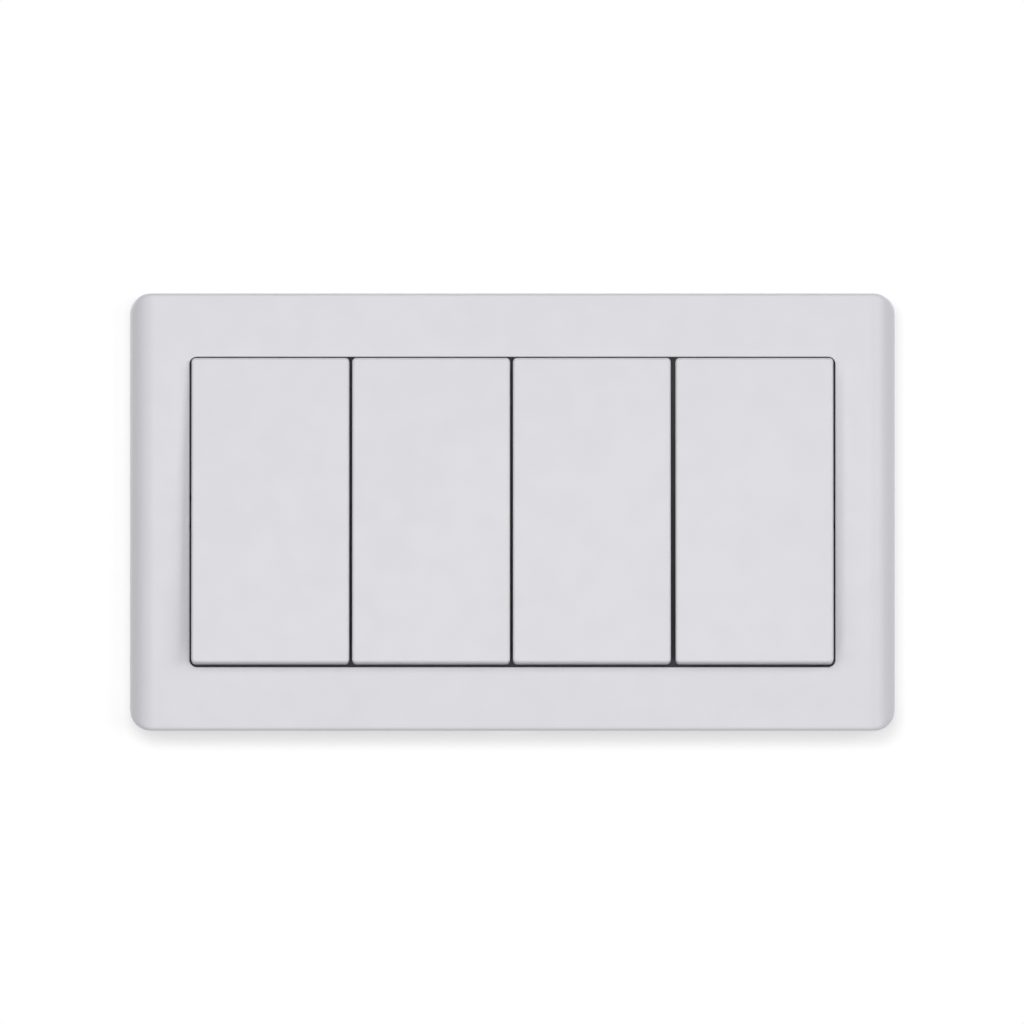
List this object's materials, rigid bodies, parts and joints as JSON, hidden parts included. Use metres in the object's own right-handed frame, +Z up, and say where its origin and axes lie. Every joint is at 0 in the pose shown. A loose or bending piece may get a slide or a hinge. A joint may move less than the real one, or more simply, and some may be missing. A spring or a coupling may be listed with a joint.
{
  "type": "four-gang light switch",
  "caption": "Flush wall switch: tall rockers side by side in a clipped front plate, on a chassis that carries changeover mechanisms with screw-clamp terminals.",
  "frame": {"origin": "on the wall plane, midway between the two fixing screws", "axes": "+X to the right seen from the room, +Y into the wall, +Z up"},
  "size_m": [0.146, 0.0306, 0.0834],
  "materials": {
    "frame_white": "satin white, faintly cool",
    "rocker_white": "satin white, faintly cool",
    "chassis_grey": "fine matt moulding, dark grey",
    "housing_grey": "matt moulding, light grey",
    "dolly_grey": "smooth moulding, dark grey",
    "nylon_natural": "natural, slightly waxy",
    "spring_steel": "drawn wire",
    "brass_blade": "stamped sheet",
    "terminal_brass": "bright, machined",
    "contact_silver": "bright silver",
    "plated_steel": "zinc plated"
  },
  "bodies": {
    "base": {"front_frame": "frame_white", "mounting_plate": "chassis_grey", "fixing_screws": "plated_steel", "common_terminal_1": "terminal_brass", "upper_terminal_1": "terminal_brass", "lower_terminal_1": "terminal_brass", "fixed_contacts_1": "contact_silver", "terminal_screws_1": "plated_steel", "mechanism_housing_1": "housing_grey", "mechanism_cover_1": "housing_grey", "common_terminal_2": "terminal_brass", "upper_terminal_2": "terminal_brass", "lower_terminal_2": "terminal_brass", "fixed_contacts_2": "contact_silver", "terminal_screws_2": "plated_steel", "mechanism_housing_2": "housing_grey", "mechanism_cover_2": "housing_grey", "common_terminal_3": "terminal_brass", "upper_terminal_3": "terminal_brass", "lower_terminal_3": "terminal_brass", "fixed_contacts_3": "contact_silver", "terminal_screws_3": "plated_steel", "mechanism_housing_3": "housing_grey", "mechanism_cover_3": "housing_grey", "common_terminal_4": "terminal_brass", "upper_terminal_4": "terminal_brass", "lower_terminal_4": "terminal_brass", "fixed_contacts_4": "contact_silver", "terminal_screws_4": "plated_steel", "mechanism_housing_4": "housing_grey", "mechanism_cover_4": "housing_grey"},
    "gang_1_rocker": {"rocker_1": "rocker_white", "dolly_1": "dolly_grey", "plunger_spring_1": "spring_steel"},
    "gang_1_plunger": {"plunger_1": "nylon_natural"},
    "gang_1_bridge": {"contact_bridge_1": "brass_blade", "moving_contacts_1": "contact_silver"},
    "gang_2_rocker": {"rocker_2": "rocker_white", "dolly_2": "dolly_grey", "plunger_spring_2": "spring_steel"},
    "gang_2_plunger": {"plunger_2": "nylon_natural"},
    "gang_2_bridge": {"contact_bridge_2": "brass_blade", "moving_contacts_2": "contact_silver"},
    "gang_3_rocker": {"rocker_3": "rocker_white", "dolly_3": "dolly_grey", "plunger_spring_3": "spring_steel"},
    "gang_3_plunger": {"plunger_3": "nylon_natural"},
    "gang_3_bridge": {"contact_bridge_3": "brass_blade", "moving_contacts_3": "contact_silver"},
    "gang_4_rocker": {"rocker_4": "rocker_white", "dolly_4": "dolly_grey", "plunger_spring_4": "spring_steel"},
    "gang_4_plunger": {"plunger_4": "nylon_natural"},
    "gang_4_bridge": {"contact_bridge_4": "brass_blade", "moving_contacts_4": "contact_silver"}
  },
  "joints": [
    {"name": "rocker_1_tilt", "type": "hinge", "parent": "base", "child": "gang_1_rocker", "pos_m": [-0.04615, -0.007, 0], "axis": [1, 0, 0], "range_deg": [0, 8]},
    {"name": "plunger_1_slide", "type": "slide", "parent": "gang_1_rocker", "child": "gang_1_plunger", "axis": [0, -0.9976, 0.0698], "range_m": [0, 0.0005], "stiffness_N_per_m": 200, "deforming": ["plunger_spring_1"]},
    {"name": "bridge_1_rock", "type": "hinge", "parent": "base", "child": "gang_1_bridge", "pos_m": [-0.04615, 0.0056, 0], "axis": [1, 0, 0], "range_deg": [-18, 0]},
    {"name": "rocker_2_tilt", "type": "hinge", "parent": "base", "child": "gang_2_rocker", "pos_m": [-0.0155, -0.007, 0], "axis": [1, 0, 0], "range_deg": [0, 8]},
    {"name": "plunger_2_slide", "type": "slide", "parent": "gang_2_rocker", "child": "gang_2_plunger", "axis": [0, -0.9976, 0.0698], "range_m": [0, 0.0005], "stiffness_N_per_m": 200, "deforming": ["plunger_spring_2"]},
    {"name": "bridge_2_rock", "type": "hinge", "parent": "base", "child": "gang_2_bridge", "pos_m": [-0.0155, 0.0056, 0], "axis": [1, 0, 0], "range_deg": [-18, 0]},
    {"name": "rocker_3_tilt", "type": "hinge", "parent": "base", "child": "gang_3_rocker", "pos_m": [0.01515, -0.007, 0], "axis": [1, 0, 0], "range_deg": [0, 8]},
    {"name": "plunger_3_slide", "type": "slide", "parent": "gang_3_rocker", "child": "gang_3_plunger", "axis": [0, -0.9976, 0.0698], "range_m": [0, 0.0005], "stiffness_N_per_m": 200, "deforming": ["plunger_spring_3"]},
    {"name": "bridge_3_rock", "type": "hinge", "parent": "base", "child": "gang_3_bridge", "pos_m": [0.01515, 0.0056, 0], "axis": [1, 0, 0], "range_deg": [-18, 0]},
    {"name": "rocker_4_tilt", "type": "hinge", "parent": "base", "child": "gang_4_rocker", "pos_m": [0.04615, -0.007, 0], "axis": [1, 0, 0], "range_deg": [0, 8]},
    {"name": "plunger_4_slide", "type": "slide", "parent": "gang_4_rocker", "child": "gang_4_plunger", "axis": [0, -0.9976, 0.0698], "range_m": [0, 0.0005], "stiffness_N_per_m": 200, "deforming": ["plunger_spring_4"]},
    {"name": "bridge_4_rock", "type": "hinge", "parent": "base", "child": "gang_4_bridge", "pos_m": [0.04615, 0.0056, 0], "axis": [1, 0, 0], "range_deg": [-18, 0]}
  ],
  "couplings": [
    {"joint": "bridge_1_rock", "follows": "rocker_1_tilt", "ratio": -2.25},
    {"joint": "bridge_2_rock", "follows": "rocker_2_tilt", "ratio": -2.25},
    {"joint": "bridge_3_rock", "follows": "rocker_3_tilt", "ratio": -2.25},
    {"joint": "bridge_4_rock", "follows": "rocker_4_tilt", "ratio": -2.25}
  ]
}
